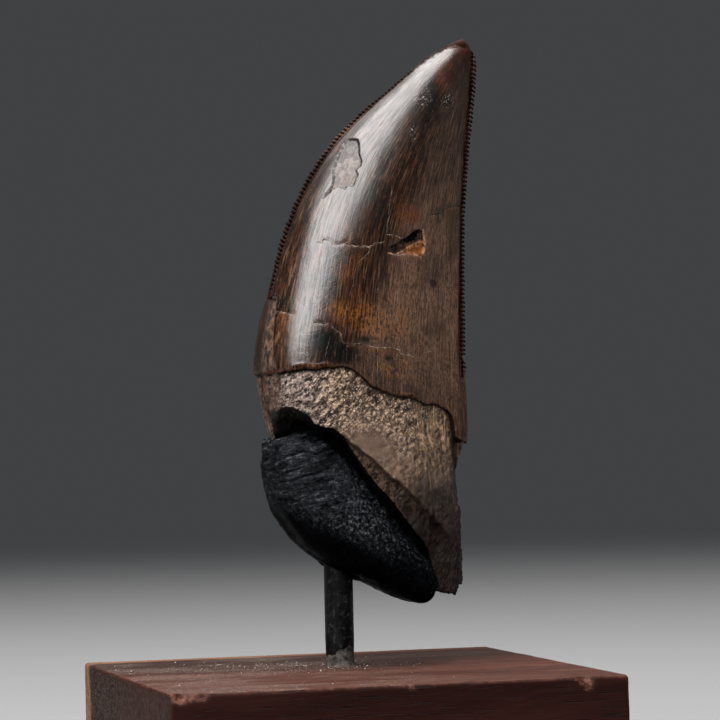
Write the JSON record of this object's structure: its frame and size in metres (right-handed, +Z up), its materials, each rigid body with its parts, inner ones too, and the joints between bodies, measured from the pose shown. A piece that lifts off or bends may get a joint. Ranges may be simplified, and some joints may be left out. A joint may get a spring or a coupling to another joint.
{
  "type": "fossil tyrannosaurus tooth on a stand",
  "caption": "Serrated fossil theropod tooth with enamelled crown and broken root, held by a moulded putty cradle on a steel post in a walnut block.",
  "frame": {"origin": "middle of the block's underside", "axes": "+Z up along the post; +X along the block's front face, towards the tooth's trailing edge; +Y to the back"},
  "size_m": [0.06, 0.06, 0.1161],
  "materials": {
    "tooth": "fossil enamel, polished dark red-brown with fine lengthwise grain and cracks; matt beige-brown pitted root",
    "cradle": "moulded epoxy putty, brushed satin black paint",
    "post": "satin black paint on a steel rod, worn to grey metal near its foot",
    "base": "walnut block, open satin finish with fine dust, eased edges with small knocks"
  },
  "bodies": {
    "root": {"tooth": "tooth", "cradle": "cradle", "post": "post", "base": "base"}
  },
  "joints": []
}
